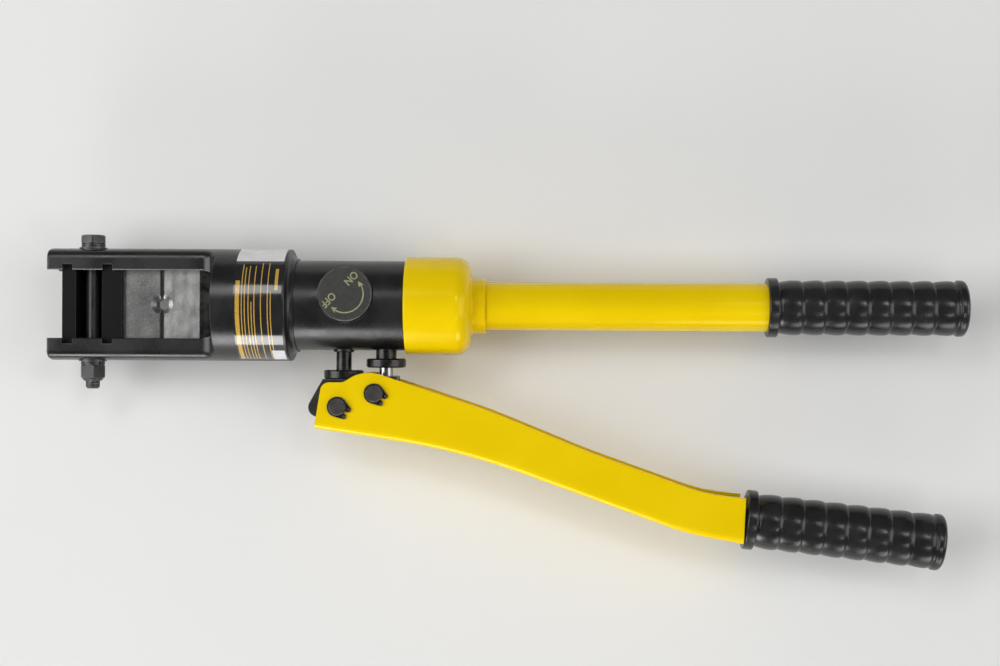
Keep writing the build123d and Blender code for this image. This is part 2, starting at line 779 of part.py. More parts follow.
def make_gland():
    bore = plunger_d / 2 + running_gap
    flange_r = gland_d / 2
    neck_r = gland_neck_d / 2 - press_gap
    bottom = gland_face - gland_height
    return turned((bottom, bore), (bottom, flange_r, 0.8), (gland_face, flange_r, 0.8), (gland_face, neck_r),
                  (gland_top, neck_r, 0.3), (gland_top, bore), axis="Y", at=plunger_at)


def make_plunger_seal():
    outer = gland_neck_d - 2 * press_gap
    inner = plunger_d + 2 * running_gap
    return ring(outer, inner, gland_top + 0.05, gland_top + plunger_seal_height - 0.05, axis="Y", at=plunger_at)


# Pump lever
def raised(points, height):
    """The corners of a line of straight runs moved sideways by height, to the left of its direction."""
    shifted = []
    for (ax, ay), (bx, by) in zip(points, points[1:]):
        run = hypot(bx - ax, by - ay)
        nx, ny = -(by - ay) / run * height, (bx - ax) / run * height
        shifted.append(((ax + nx, ay + ny), (bx + nx, by + ny)))
    corners = [shifted[0][0]]
    for (a, b), (c, d) in zip(shifted, shifted[1:]):
        across = (b[0] - a[0]) * (d[1] - c[1]) - (b[1] - a[1]) * (d[0] - c[0])
        share = ((c[0] - a[0]) * (d[1] - c[1]) - (c[1] - a[1]) * (d[0] - c[0])) / across
        corners.append((a[0] + share * (b[0] - a[0]), a[1] + share * (b[1] - a[1])))
    return corners + [shifted[-1][1]]


slope = radians(lever_grip_slope)
grip_start = (lever_grip_x, lever_grip_y)
channel_rear = (lever_grip_x - channel_end_gap * cos(slope), lever_grip_y - channel_end_gap * sin(slope))
end_slope = radians(channel_end_slope)
rise = (-sin(end_slope) * channel_end_height / 2, cos(end_slope) * channel_end_height / 2)
end_top = (channel_rear[0] + rise[0], channel_rear[1] + rise[1])
end_bottom = (channel_rear[0] - rise[0], channel_rear[1] - rise[1])
web_line = [front_bottom, belly, tail_lower, end_bottom]


def make_channel():
    upper = [(*tail_upper, tail_upper_round), (*back_upper, back_round), (*shoulder, shoulder_round),
             (*hump, hump_round), (*dip, dip_round), (*front_top, front_round)]
    lower = [front_bottom, (*belly, belly_round), (*tail_lower, tail_lower_round), end_bottom]
    body = extrude(outline(*lower, end_top, *upper), channel_half, both=True)
    under = [edge for edge in body.edges() if is_web_edge(edge, channel_half, 0)]
    body = fillet(under, bend_round)

    inner = raised(web_line, sheet)
    front = along(inner[0], inner[1], -over_cut)
    rear = along(inner[-1], inner[-2], -over_cut)
    high = hump[1] + over_cut
    hollow = extrude(outline(front, (*inner[1], belly_round - sheet), (*inner[2], tail_lower_round + sheet), rear,
                             (rear[0], high), (front[0], high)), channel_half - sheet, both=True)
    inner_edges = [edge for edge in hollow.edges() if is_web_edge(edge, channel_half - sheet, sheet)]
    body -= fillet(inner_edges, bend_round - sheet)

    foot = pin_foot()
    run = along(foot, belly, notch_behind_pin)
    length = 2 * hypot(run[0] - front_bottom[0], run[1] - front_bottom[1])
    turn = degrees(atan2(belly[1] - front_bottom[1], belly[0] - front_bottom[0]))
    notch = extrude(RectangleRounded(length, 2 * (channel_half - sheet), notch_round), 3 * sheet, both=True)
    body -= Pos(*front_bottom, 0) * Rot(0, 0, turn) * Rot(90, 0, 0) * notch
    for x, y in ((fulcrum_x, fulcrum_y), (drive_x, drive_y)):
        body -= bar(pin_d + 2 * press_gap, -2 * channel_half, 2 * channel_half, axis="Z", at=(x, y, 0))
    return body


def is_web_edge(edge, half, height):
    """Whether an edge lies along the channel's web, at half the width and at a height above its outside."""
    middle = edge @ 0.5
    if abs(abs(middle.Z) - half) > 1e-4:
        return False
    if abs((edge @ 0).Z - (edge @ 1).Z) > 1e-4:
        return False
    line = raised(web_line, height) if height else web_line
    tangent = edge % 0.5
    if abs(tangent.X) < 0.8:
        return False
    return middle.Y < line_level(line, middle.X) + 8


def line_level(line, x):
    """The height of a line of straight runs at x, its end runs carried on."""
    pairs = list(zip(line, line[1:]))
    for (ax, ay), (bx, by) in pairs:
        if x <= bx or (bx, by) == line[-1]:
            return ay + (by - ay) * (x - ax) / (bx - ax)


def pin_foot():
    """The point on the outside of the web that lies straight below the fulcrum pin."""
    (ax, ay), (bx, by) = front_bottom, belly
    run = hypot(bx - ax, by - ay)
    ux, uy = (bx - ax) / run, (by - ay) / run
    distance = (fulcrum_x - ax) * ux + (fulcrum_y - ay) * uy
    return ax + distance * ux, ay + distance * uy


def make_pin(x, y):
    radius = pin_d / 2
    groove_r = circlip_groove_d / 2
    inner = channel_half
    outer = channel_half + circlip_thickness + 0.1
    half = [(inner, radius), (inner, groove_r), (outer, groove_r), (outer, radius), (pin_end, radius, 0.6), (pin_end, 0)]
    mirrored = [(-corner[0], *corner[1:]) for corner in reversed(half)]
    return turned(*mirrored, *half, axis="Z", at=(x, y, 0))


def make_circlips(x, y):
    """The two external circlips of a pin: a ring that widens towards two ears."""
    inner_r = circlip_groove_d / 2 + press_gap
    outer_r = inner_r + circlip_width
    ears = [Rot(0, 0, side * circlip_opening / 2) * Pos(circlip_ear_at, 0) for side in (-1, 1)]
    face = Circle(outer_r).face()
    for ear in ears:
        face += make_hull([*Circle(outer_r).edges(), *(ear * Circle(circlip_ear)).edges()])
    face -= Circle(inner_r)
    for ear in ears:
        face -= ear * Circle(circlip_hole_d / 2)
    face -= Pos(circlip_ear_at, 0) * Rectangle(2 * circlip_ear_at - 2 * circlip_gap, circlip_gap)
    clip = extrude(Rot(0, 0, circlip_turn) * face, circlip_thickness)
    top = Pos(x, y, channel_half + 0.05) * clip
    return [top, Pos(x, y, -channel_half - 0.05 - circlip_thickness) * clip]


# Handles
def make_grip():
    """One grip along +X from its collar, closed at its far end."""
    tube_r = tube_d / 2
    neck_r = tube_r + grip_neck_wall
    valley_r = tube_r + rib_wall
    peak_r = valley_r + rib_height
    collar_r = tube_r + grip_collar_wall
    flange_r = tube_r + grip_flange_wall
    corners = [(0, 0), (0, collar_r, 0.8), (grip_collar, collar_r, 0.8), (grip_collar, neck_r),
               (grip_collar + grip_neck, neck_r)]
    start = grip_collar + grip_neck
    for rib in range(rib_count):
        place = start + rib * rib_pitch
        corners.append((place, valley_r))
        corners.append((place + rib_peak * rib_pitch, peak_r, rib_crown))
    end = start + rib_count * rib_pitch
    flange_start = grip_length - grip_flange
    corners += [(end, valley_r), (flange_start, valley_r), (flange_start, flange_r, 0.8),
                (grip_length - grip_dome, flange_r, 2.0), (grip_length, flange_r / 2), (grip_length, 0)]
    return turned(*corners, rounded=True) - bar(tube_d + 2 * press_gap, -1, grip_length - grip_end_wall)


def lever_place():
    return Pos(*grip_start, 0) * Rot(0, 0, lever_grip_slope)


def make_handle_tube():
    end = handle_grip_x + grip_length - grip_end_wall - free_gap
    return ring(tube_d, tube_d - 2 * tube_wall, tube_front, end)


def make_lever_tube():
    """A round tube for the grip, with a flattened tongue welded in the channel's end."""
    end = grip_length - grip_end_wall - free_gap
    body = ring(tube_d, tube_d - 2 * tube_wall, 0, end)
    body += bar(tube_d, 0, tongue_round)
    width = 2 * (channel_half - sheet) - 2 * press_gap
    tongue = Box(tongue_length + free_gap, tongue_height, width, align=(Align.MAX, Align.CENTER, Align.CENTER))
    ends = tongue.faces().sort_by(Axis.X)[0].edges().filter_by(Axis.Z)
    body += fillet(ends, tongue_round)
    return lever_place() * body


# Reservoir
def make_cap():
    front = body_rear
    inner_r = cap_thread_d / 2
    seat = cap_thread_end + bladder_flange
    outer_r = cap_d / 2
    tube_r = tube_d / 2 + press_gap
    return turned(
        (front, inner_r), (front, outer_r, cap_front_edge), (cap_rear, outer_r, cap_shoulder),
        (cap_rear, cap_neck_d / 2, cap_neck_blend), (cap_neck_end, cap_neck_d / 2, 0.5),
        (cap_neck_end, tube_r), (tube_front - 1, tube_r), (tube_front - 1, bladder_d / 2 + 0.7),
        (cap_throat_start, cap_inner_d / 2, 4.0), (seat, cap_inner_d / 2), (seat, inner_r), rounded=True,
    )


def make_bladder():
    """The rubber reservoir: a flange in the cap, a funnel and a long closed tube."""
    start = cap_thread_end + 0.1
    flange_end = cap_thread_end + bladder_flange - 0.1
    throat = tube_front - 1
    outer = bladder_d / 2
    wide = cap_inner_d / 2 - free_gap
    inner = outer - bladder_wall
    outer_round = min(bladder_round, outer - bladder_wall)
    inner_round = min(bladder_inner_round, inner - bladder_wall)
    flange_r = cap_thread_d / 2 - 0.2
    return turned(
        (start, wide - bladder_wall), (start, flange_r, 0.5), (flange_end, flange_r, 0.5), (flange_end, wide),
        (cap_throat_start - 1, wide, 4.0), (throat - 1.5, outer), (bladder_end, outer, outer_round), (bladder_end, 0),
        (bladder_end - bladder_wall, 0), (bladder_end - bladder_wall, inner, inner_round), (throat - 1.5, inner),
        (cap_throat_start - 1, wide - bladder_wall, 3.0), rounded=True,
    )


def mirrored_die(shape):
    """The same piece on the crosshead's side of the nest."""
    return Rot(0, 0, 180) * shape


parts = {
    "head_fork": make_head(),
    "crosshead": make_crosshead(),
    "upper_die": mirrored_die(make_die()),
    "lower_die": make_die(),
    "upper_die_dowel": mirrored_die(make_dowel()),
    "lower_die_dowel": make_dowel(),
    "cross_bolt": make_cross_bolt(),
    "cross_bolt_nut": make_nut(),
    "flat_washers": make_flat_washers(),
    "lock_washers": make_lock_washers(),
    "ram": make_ram(),
    "ram_seal": make_ram_seal(),
    "ram_backup_ring": make_backup_ring(),
    "ram_spring_anchor": make_ram_anchor(),
    "return_spring": make_return_spring(),
    "spring_anchor_bush": make_anchor_bush(),
    "pump_body": make_pump_body(),
    "head_seal": make_head_seal(),
    "intake_seat_screw": make_intake_seat(),
    "intake_ball": Pos(intake_ball_x, gallery_y, 0) * Sphere(ball_d / 2),
    "intake_spring": make_intake_spring(),
    "outlet_ball": Pos(outlet_ball_x, gallery_y, 0) * Sphere(ball_d / 2),
    "outlet_spring": make_outlet_spring(),
    "outlet_spring_screw": make_outlet_screw(),
    "relief_ball": Pos(relief_x, 0, relief_ball_z) * Sphere(release_ball_d / 2),
    "relief_spring": make_relief_spring(),
    "relief_screw": make_relief_screw(),
    "release_knob": make_knob(),
    "release_spindle": make_spindle(),
    "spindle_seal": make_spindle_seal(),
    "release_ball": Pos(knob_x, knob_y, release_ball_z) * Sphere(release_ball_d / 2),
    "fulcrum_post": make_post(),
    "fulcrum_lock_nut": make_lock_nut(),
    "fulcrum_bracket": make_bracket(),
    "plunger": make_plunger(),
    "plunger_head": make_plunger_head(),
    "gland_nut": make_gland(),
    "plunger_seal": make_plunger_seal(),
    "fulcrum_pin": make_pin(fulcrum_x, fulcrum_y),
    "fulcrum_pin_circlips": make_circlips(fulcrum_x, fulcrum_y),
    "drive_pin": make_pin(drive_x, drive_y),
    "drive_pin_circlips": make_circlips(drive_x, drive_y),
    "lever_channel": make_channel(),
    "lever_tube": make_lever_tube(),
    "lever_grip": lever_place() * make_grip(),
    "reservoir_cap": make_cap(),
    "oil_bladder": make_bladder(),
    "handle_tube": make_handle_tube(),
    "handle_grip": Pos(handle_grip_x, 0, 0) * make_grip(),
}

os.makedirs("parts", exist_ok=True)
for name, shape in parts.items():
    solids = shape if isinstance(shape, list) else [shape]
    whole = Compound(children=[solid for piece in solids for solid in piece.solids()])
    export_step(whole, f"parts/{name}.step")
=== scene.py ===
from math import cos, degrees, pi, radians, sin, tan, tau

import bmesh
import bpy
from mathutils import Matrix, Vector


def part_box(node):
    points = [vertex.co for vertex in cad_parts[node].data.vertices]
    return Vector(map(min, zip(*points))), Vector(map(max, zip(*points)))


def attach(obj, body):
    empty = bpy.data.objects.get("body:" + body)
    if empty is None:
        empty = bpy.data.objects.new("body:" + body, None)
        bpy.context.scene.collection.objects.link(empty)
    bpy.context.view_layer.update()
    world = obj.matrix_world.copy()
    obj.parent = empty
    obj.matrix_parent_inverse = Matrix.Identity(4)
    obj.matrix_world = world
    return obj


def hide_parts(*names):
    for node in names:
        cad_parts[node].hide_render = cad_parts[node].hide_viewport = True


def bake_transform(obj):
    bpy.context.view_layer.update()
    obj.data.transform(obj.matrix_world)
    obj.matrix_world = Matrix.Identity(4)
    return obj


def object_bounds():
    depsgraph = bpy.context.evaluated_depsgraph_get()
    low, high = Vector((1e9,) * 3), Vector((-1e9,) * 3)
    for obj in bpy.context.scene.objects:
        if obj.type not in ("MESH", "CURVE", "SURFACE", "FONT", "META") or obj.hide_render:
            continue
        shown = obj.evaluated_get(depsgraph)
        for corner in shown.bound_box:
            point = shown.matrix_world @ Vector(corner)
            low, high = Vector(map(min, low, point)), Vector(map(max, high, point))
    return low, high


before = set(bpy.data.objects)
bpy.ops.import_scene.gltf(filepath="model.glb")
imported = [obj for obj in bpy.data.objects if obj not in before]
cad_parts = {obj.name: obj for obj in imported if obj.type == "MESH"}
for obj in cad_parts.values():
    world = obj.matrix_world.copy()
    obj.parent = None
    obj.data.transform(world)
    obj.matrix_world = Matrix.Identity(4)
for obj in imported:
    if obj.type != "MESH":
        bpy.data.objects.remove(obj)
cad_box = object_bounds()
MM = 0.001

# Camera: straight down on the tool, as in the photograph
VIEW_HEIGHT = 0.933         # above the tool's axis
VIEW_X = 0.222
VIEW_Y = -0.0195
VIEW_ROLL = 0.286           # degrees
LENS_MM = 57.6
SENSOR_MM = 36.0
NEAREST = 0.05              # nothing closer to the camera is drawn
PHOTO = (1000, 666)
LOOKING_AT = (545, 340)     # the pixel straight below the camera

# Light: each lamp's direction in degrees from the vertical towards +Y and +X, its distance, size and
# radiance, and where it is narrowed, its spread in degrees
SKY = 0.15
LIT_SPOT = (0.2, -0.03, 0.0)
LIGHTS = {
    "left_window": ((-77, -19.5), 1.8, (0.7, 0.75), 10.5, 84),
    "right_window": ((-79, 20), 1.8, (0.8, 0.65), 4.6, 84),
    "left_ceiling": ((29, -20), 1.6, (0.62, 0.42), 4.6),
    "grip_upper": ((19, 19), 1.8, (0.36, 0.16), 12.0),
    "grip_middle": ((-27, 19), 1.8, (0.36, 0.16), 8.0),
    "right_softbox": ((0, 58), 2.2, (1.4, 1.8), 2.2),
    "left_softbox": ((0, -52), 2.2, (1.4, 1.8), 3.8),
}

# Floor
FLOOR_COLOUR = (0.80, 0.80, 0.79)
FLOOR_SHADE = 0.98          # the darker of its two colours, as a share of the other
FLOOR_REACH = 6000          # from its middle to an edge, in millimetres
FLOOR_CELLS = 24

# Grips, in millimetres from the collar's front
RIBS = 8
RIB_PITCH = 12.7
RIB_START = 7.6
RIB_VALLEY_R = 14.95
RIB_PEAK_R = 16.0
RIB_STEPS = 22              # points along one rib
COLLAR_R = 17.3
COLLAR_END = 6.0
COLLAR_ROUND = 0.9
NECK_ROUND = 0.8
NECK_ROUND_R = 15.2         # how far out its centre lies
GRIP_LENGTH = 116.4
GRIP_SIDES = 96
FLANGE_START = 110.2
FLANGE_R = 16.42
FLANGE_ROUND = 1.0
END_ROUND = 2.6
END_ROUND_AT = 3.4          # from the round's centre to the grip's end
END_DOME = ((0.45, 0.72), (0.12, 0.45), (0.0, 0.0))     # before the end, and share of the flange's radius
TUBE_R = 14.05
LEVER_GRIP_START = (338.7, -123.4)
LEVER_GRIP_SLOPE = -6.5     # degrees

# One rib: it rises to its peak, its crown drops a little, and then it falls to the next valley
PEAK_AT = 0.70              # share of the pitch
RISE_POWER = 0.85
CROWN_END = 0.72            # share of the way from the peak to the valley
CROWN_DROP = 0.55
FALL_POWER = 1.6

# Label on the head, in millimetres along the axis and degrees round it from the top
LABEL_START = 46.1
LABEL_END = 73.3
LABEL_FROM = -75.0
LABEL_TO = 97.0
LABEL_STRIP = 49.0          # the white strip starts here
LABEL_LIFT = 0.04
BAND = (48.4, 2.4, -73.0, 24.0)     # middle, width, first and last angle
SMALL_BAND = (70.2, 1.8, 14.0, 38.0)
CORNER = (66.0, -54.0)      # the white corner starts here along the axis, and ends at this angle
RULES = [(50.9, 44), (52.6, 40), (54.7, 42), (56.4, 2), (58.0, 42), (61.7, 46), (65.5, 46), (67.2, 12)]
RULE_WIDTH = 0.55
RULE_FROM = LABEL_FROM + 2

# Springs: the body that moves one end, the axis, whether that is the lower end, and the share of the
# length that moves as one with each end
SPRINGS = {
    "return_spring": ("ram_carriage", 0, True, 0.12),
    "intake_spring": ("intake_valve", 0, False, 0.1),
    "outlet_spring": ("outlet_valve", 0, False, 0.1),
    "relief_spring": ("relief_valve", 2, False, 0.1),
}

# Thread at the end of the cross bolt
BOLT_R = 4.0
BOLT_PITCH = 1.25
BOLT_TIP_EDGE = 0.8         # left plain at the bolt's tip
THREAD_COVERED = 0.4        # how far the thread runs on into the nut
THREAD_STEPS = 28           # points in one turn
THREAD_FADE = 10            # steps over which the ridge rises at each end
THREAD_FOOT = 0.3           # how far the foot lies inside the bolt's surface
THREAD_HEIGHT = 0.3         # how far the ridge rises while it fades in
THREAD_SUNK = 0.1           # how far the ridge starts below the surface
THREAD_HALF = 0.45          # half the width of the foot, as a share of the pitch

# Marks on the release knob
ARC_R = 10.6
ARC_WIDTH = 0.75
ARC_FROM = 44.0
ARC_TO = -136.0
ARC_STEPS = 60
ARC_TUCK = 0.8              # the arc starts this share of an arrow's length behind its tip
ARROW_LENGTH = 3.6
ARROW_WIDTH = 3.4
ARROW_NOTCH = 0.75          # share of the arrow's length from its tip to the notch at its back
TEXT_SIZE = 6.0
TEXT_BOLD = 0.10
TEXT_NARROW = 0.90
TEXT_TURN = -134.0
TEXT_PLACES = {"ON": (3.6, 9.0), "OFF": (-9.2, -3.4)}
MARK_THICKNESS = 0.06

# Noise: what it is cut off at below and above, which sets the contrast
PATCH_CUT = (0.35, 0.65)
SPECKLE_CUT = (0.45, 0.75)
GRAIN_CUT = (0.2, 0.8)
WEAR_CUT = (0.30, 0.62)
NOISE_DETAIL = 3.0
SPECKLE_GAIN = 1.35         # how much lighter the speckles are
COAT_ROUGHNESS = 0.08

# Wear along edges
WEAR_SCALE = 260            # cells per metre
WEAR_OPEN = (0.94, 0.62)    # how open the inside is where wear starts and where it is full
WEAR_SAMPLES = 6
BARE_STEEL = (0.42, 0.42, 0.42)
POLISHED = (0.80, 0.80, 0.80)

SURFACES = {
    "black_enamel": dict(
        colours=((0.007, 0.007, 0.007), (0.011, 0.011, 0.011)), rough=(0.24, 0.34),
        patches=60, grain=260, grain_height=0.03, wear=(BARE_STEEL, 0.6, 0.14, 0.8)),
    "yellow_enamel": dict(
        colours=((0.83, 0.575, 0.001), (0.87, 0.615, 0.002)), rough=(0.16, 0.24), tint=(1.0, 0.84, 0.20),
        patches=25, grain=240, grain_height=0.03, wear=((0.20, 0.13, 0.01), 0.6, 0.35, 0.0)),
    "black_oxide": dict(
        colours=((0.014, 0.014, 0.015), (0.026, 0.026, 0.026)), rough=(0.30, 0.44),
        patches=160, grain=900, grain_height=0.012, wear=(BARE_STEEL, 0.5, 0.45, 0.9)),
    # Painted shade: the crosshead is given a near-black, matte colour that stands for the shadow it lies in
    # between the ears, on top of its dark phosphate finish
    "phosphate_and_painted_shade": dict(
        colours=((0.003, 0.003, 0.003), (0.006, 0.006, 0.006)), rough=(0.55, 0.65), specular=0.15,
        patches=160, grain=900, grain_height=0.012, wear=((0.05, 0.05, 0.05), 0.6, 0.5, 0.0)),
    "dark_steel": dict(
        colours=((0.026, 0.027, 0.026), (0.048, 0.049, 0.047)), rough=(0.22, 0.36), metallic=0.9,
        patches=180, grain=900, grain_height=0.01, wear=(BARE_STEEL, 0.5, 0.5, 0.9)),
    "pin_steel": dict(
        colours=((0.034, 0.033, 0.031), (0.050, 0.048, 0.045)), rough=(0.42, 0.55), metallic=0.3,
        patches=260, grain=1100, grain_height=0.008, wear=(BARE_STEEL, 0.5, 0.5, 0.8)),
    # Painted shade: the upper die is the same plated steel as the lower die, painted about half as bright to
    # stand for the darker light on it
    "upper_die_steel_painted_shade": dict(
        colours=((0.165, 0.165, 0.165), (0.205, 0.205, 0.20)), rough=(0.30, 0.42), metallic=1.0,
        patches=90, stretch=(1, 0.6, 1), grain=1600, grain_height=0.005, speckle=1300,
        wear=(POLISHED, 0.9, 0.8, 1.0)),
    "lower_die_steel": dict(
        colours=((0.35, 0.35, 0.35), (0.41, 0.41, 0.40)), rough=(0.28, 0.38), metallic=1.0,
        patches=160, stretch=(1.3, 0.8, 1), grain=1600, grain_height=0.006, speckle=1700,
        wear=(POLISHED, 0.9, 0.8, 1.0)),
    "turned_steel": dict(
        colours=((0.42, 0.42, 0.43), (0.56, 0.56, 0.56)), rough=(0.22, 0.34), metallic=1.0,
        patches=200, stretch=(1, 4, 1), grain=900, grain_height=0.004, wear=(POLISHED, 0.4, 0.6, 1.0)),
    "hard_chrome": dict(
        colours=((0.29, 0.285, 0.27), (0.35, 0.345, 0.33)), rough=(0.12, 0.22), metallic=1.0,
        patches=90, stretch=(1, 5, 1), grain=700, grain_height=0.001),
    "knob_enamel": dict(
        colours=((0.027, 0.027, 0.024), (0.034, 0.034, 0.030)), rough=(0.40, 0.48),
        patches=400, grain=900, grain_height=0.012, wear=((0.30, 0.30, 0.28), 0.8, 1.0, 0.4)),
    "grip_rubber": dict(
        colours=((0.009, 0.009, 0.009), (0.014, 0.014, 0.014)), rough=(0.21, 0.28),
        patches=120, grain=1400, grain_height=0.010, wear=((0.03, 0.03, 0.03), 0.6, 0.5, 0.0)),
    "seal_rubber": dict(
        colours=((0.015, 0.015, 0.015), (0.024, 0.024, 0.024)), rough=(0.55, 0.7),
        patches=200, grain=1500, grain_height=0.01),
    "backup_plastic": dict(
        colours=((0.62, 0.60, 0.54), (0.70, 0.68, 0.62)), rough=(0.4, 0.5),
        patches=200, grain=900, grain_height=0.004),
    "label_film": dict(
        colours=((0.010, 0.010, 0.011), (0.016, 0.016, 0.017)), rough=(0.10, 0.17), coat=0.6,
        patches=80, grain=120, grain_height=0.02),
    "label_gold": dict(
        colours=((0.46, 0.26, 0.035), (0.62, 0.38, 0.07)), rough=(0.12, 0.2), coat=0.6,
        patches=900, stretch=(1, 2.2, 2.2), grain=120, grain_height=0.02),
    "label_white": dict(
        colours=((0.66, 0.66, 0.66), (0.74, 0.74, 0.74)), rough=(0.12, 0.2), coat=0.6,
        patches=120, grain=120, grain_height=0.02),
    "mark_paint": dict(
        colours=((0.24, 0.235, 0.115), (0.34, 0.33, 0.19)), rough=(0.4, 0.55),
        patches=900, grain=1200, grain_height=0.01),
}
NODES_OF = {
    "black_enamel": ["head_fork", "pump_body"],
    "yellow_enamel": ["lever_channel", "reservoir_cap", "handle_tube"],
    # the crosshead takes the painted-shade finish
    "phosphate_and_painted_shade": ["crosshead"],
    "black_oxide": ["cross_bolt", "cross_bolt_nut", "flat_washers", "lock_washers", "fulcrum_bracket",
                    "lever_tube", "plunger_head", "relief_screw", "ram_spring_anchor", "spring_anchor_bush"],
    "dark_steel": ["ram", "fulcrum_post", "gland_nut", "fulcrum_lock_nut", "fulcrum_pin_circlips",
                   "drive_pin_circlips", "return_spring", "intake_spring", "outlet_spring", "relief_spring",
                   "intake_seat_screw", "outlet_spring_screw"],
    "pin_steel": ["fulcrum_pin", "drive_pin"],
    # the upper die takes the darker, painted-shade copy of the die steel
    "upper_die_steel_painted_shade": ["upper_die"],
    "lower_die_steel": ["lower_die"],
    "turned_steel": ["release_spindle", "upper_die_dowel", "lower_die_dowel"],
    "hard_chrome": ["plunger", "intake_ball", "outlet_ball", "relief_ball", "release_ball"],
    "knob_enamel": ["release_knob"],
    "grip_rubber": ["lever_grip", "handle_grip"],
    "seal_rubber": ["head_seal", "spindle_seal", "plunger_seal", "ram_seal", "oil_bladder"],
    "backup_plastic": ["ram_backup_ring"],
}


# Materials
def blend_node(tree, factor, first, second):
    """A colour mixed from two by a factor socket; each of the two is a constant or a socket."""
    mix = tree.nodes.new("ShaderNodeMix")
    mix.data_type = "RGBA"
    tree.links.new(factor, mix.inputs["Factor"])
    for socket, colour in ((mix.inputs["A"], first), (mix.inputs["B"], second)):
        if isinstance(colour, tuple):
            socket.default_value = (*colour, 1)
        else:
            tree.links.new(colour, socket)
    return mix.outputs["Result"]


def mapped(tree, value, source, target):
    """A value moved from one range to another, and kept inside it."""
    spread = tree.nodes.new("ShaderNodeMapRange")
    spread.inputs["From Min"].default_value, spread.inputs["From Max"].default_value = source
    spread.inputs["To Min"].default_value, spread.inputs["To Max"].default_value = target
    tree.links.new(value, spread.inputs["Value"])
    return spread.outputs["Result"]


def noise(tree, place, scale, cut, stretch=(1, 1, 1)):
    """Noise in the object's own metres, with what lies between the two cuts spread over 0 to 1."""
    mapping = tree.nodes.new("ShaderNodeMapping")
    mapping.inputs["Scale"].default_value = stretch
    tree.links.new(place, mapping.inputs["Vector"])
    texture = tree.nodes.new("ShaderNodeTexNoise")
    texture.inputs["Scale"].default_value = scale
    texture.inputs["Detail"].default_value = NOISE_DETAIL
    tree.links.new(mapping.outputs["Vector"], texture.inputs["Vector"])
    return mapped(tree, texture.outputs["Fac"], cut, (0, 1))


def product(tree, first, second):
    """The product of two sockets."""
    times = tree.nodes.new("ShaderNodeMath")
    times.operation = "MULTIPLY"
    tree.links.new(first, times.inputs[0])
    tree.links.new(second, times.inputs[1])
    return times.outputs["Value"]


def edge_wear(tree, place, reach, amount):
    """0 on a face and up to amount along its outer edges, broken up by noise; reach is in millimetres."""
    behind = tree.nodes.new("ShaderNodeAmbientOcclusion")
    behind.inside = True
    behind.only_local = True
    behind.samples = WEAR_SAMPLES
    behind.inputs["Distance"].default_value = reach * MM
    edge = mapped(tree, behind.outputs["AO"], WEAR_OPEN, (0, amount))
    return product(tree, edge, noise(tree, place, WEAR_SCALE, WEAR_CUT))


def finish(name, colours, rough, patches, grain, grain_height, stretch=(1, 1, 1), metallic=0.0,
           coat=0.0, specular=0.5, tint=None, speckle=None, wear=None):
    """A surface with two close colours in patches, roughness that varies with them, and a fine relief.

    patches, grain and speckle are in cells per metre, and grain_height is in millimetres. wear is the
    colour of the worn edges, how far they reach in millimetres, how strong they are, and how metallic."""
    material = bpy.data.materials.new(name)
    material.use_nodes = True
    tree = material.node_tree
    shader = tree.nodes["Principled BSDF"]
    place = tree.nodes.new("ShaderNodeTexCoord").outputs["Object"]
    patch = noise(tree, place, patches, PATCH_CUT, stretch)
    colour = blend_node(tree, patch, *colours)
    if speckle:
        lighter = tuple(SPECKLE_GAIN * channel for channel in colours[1])
        colour = blend_node(tree, noise(tree, place, speckle, SPECKLE_CUT, stretch), colour, lighter)
    tree.links.new(mapped(tree, patch, (0, 1), rough), shader.inputs["Roughness"])
    bump = tree.nodes.new("ShaderNodeBump")
    bump.inputs["Strength"].default_value = 1.0
    bump.inputs["Distance"].default_value = grain_height * MM
    tree.links.new(noise(tree, place, grain, GRAIN_CUT, stretch), bump.inputs["Height"])
    tree.links.new(bump.outputs["Normal"], shader.inputs["Normal"])
    shader.inputs["Metallic"].default_value = metallic
    if wear:
        worn_colour, reach, amount, worn_metal = wear
        worn = edge_wear(tree, place, reach, amount)
        colour = blend_node(tree, worn, colour, worn_colour)
        if worn_metal != metallic:
            tree.links.new(mapped(tree, worn, (0, 1), (metallic, worn_metal)), shader.inputs["Metallic"])
    tree.links.new(colour, shader.inputs["Base Color"])
    shader.inputs["Coat Weight"].default_value = coat
    shader.inputs["Coat Roughness"].default_value = COAT_ROUGHNESS
    shader.inputs["Specular IOR Level"].default_value = specular
    if tint:
        shader.inputs["Specular Tint"].default_value = (*tint, 1)
    return material


def dress_nodes(materials):
    for name, nodes in NODES_OF.items():
        for node in nodes:
            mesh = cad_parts[node].data
            mesh.materials.clear()
            mesh.materials.append(materials[name])


# Pieces
def polar(radius, angle):
    """A point (x, y) from its radius and its angle in degrees."""
    return radius * cos(radians(angle)), radius * sin(radians(angle))


def new_object(name, bm, materials, smooth=True):
    """An object from a bmesh given in millimetres."""
    bmesh.ops.scale(bm, vec=(MM, MM, MM), verts=bm.verts)
    bmesh.ops.recalc_face_normals(bm, faces=bm.faces)
    mesh = bpy.data.meshes.new(name)
    bm.to_mesh(mesh)
    bm.free()
    for material in materials:
        mesh.materials.append(material)
    mesh.polygons.foreach_set("use_smooth", [smooth] * len(mesh.polygons))
    piece = bpy.data.objects.new(name, mesh)
    bpy.context.scene.collection.objects.link(piece)
    return piece


def revolved(profile, sides):
    """A bmesh turned about X from a profile of (x, radius)."""
    bm = bmesh.new()
    rings = []
    for x, r in profile:
        if r == 0:
            rings.append([bm.verts.new((x, 0, 0))])
        else:
            rings.append([bm.verts.new((x, *polar(r, 360 * i / sides))) for i in range(sides)])
    for first, second in zip(rings, rings[1:]):
        for i in range(sides):
            around = ((first, i), (first, i + 1), (second, i + 1), (second, i))
            corners = list(dict.fromkeys(ring[at % len(ring)] for ring, at in around))
            if len(corners) > 2:
                bm.faces.new(corners)
    return bm


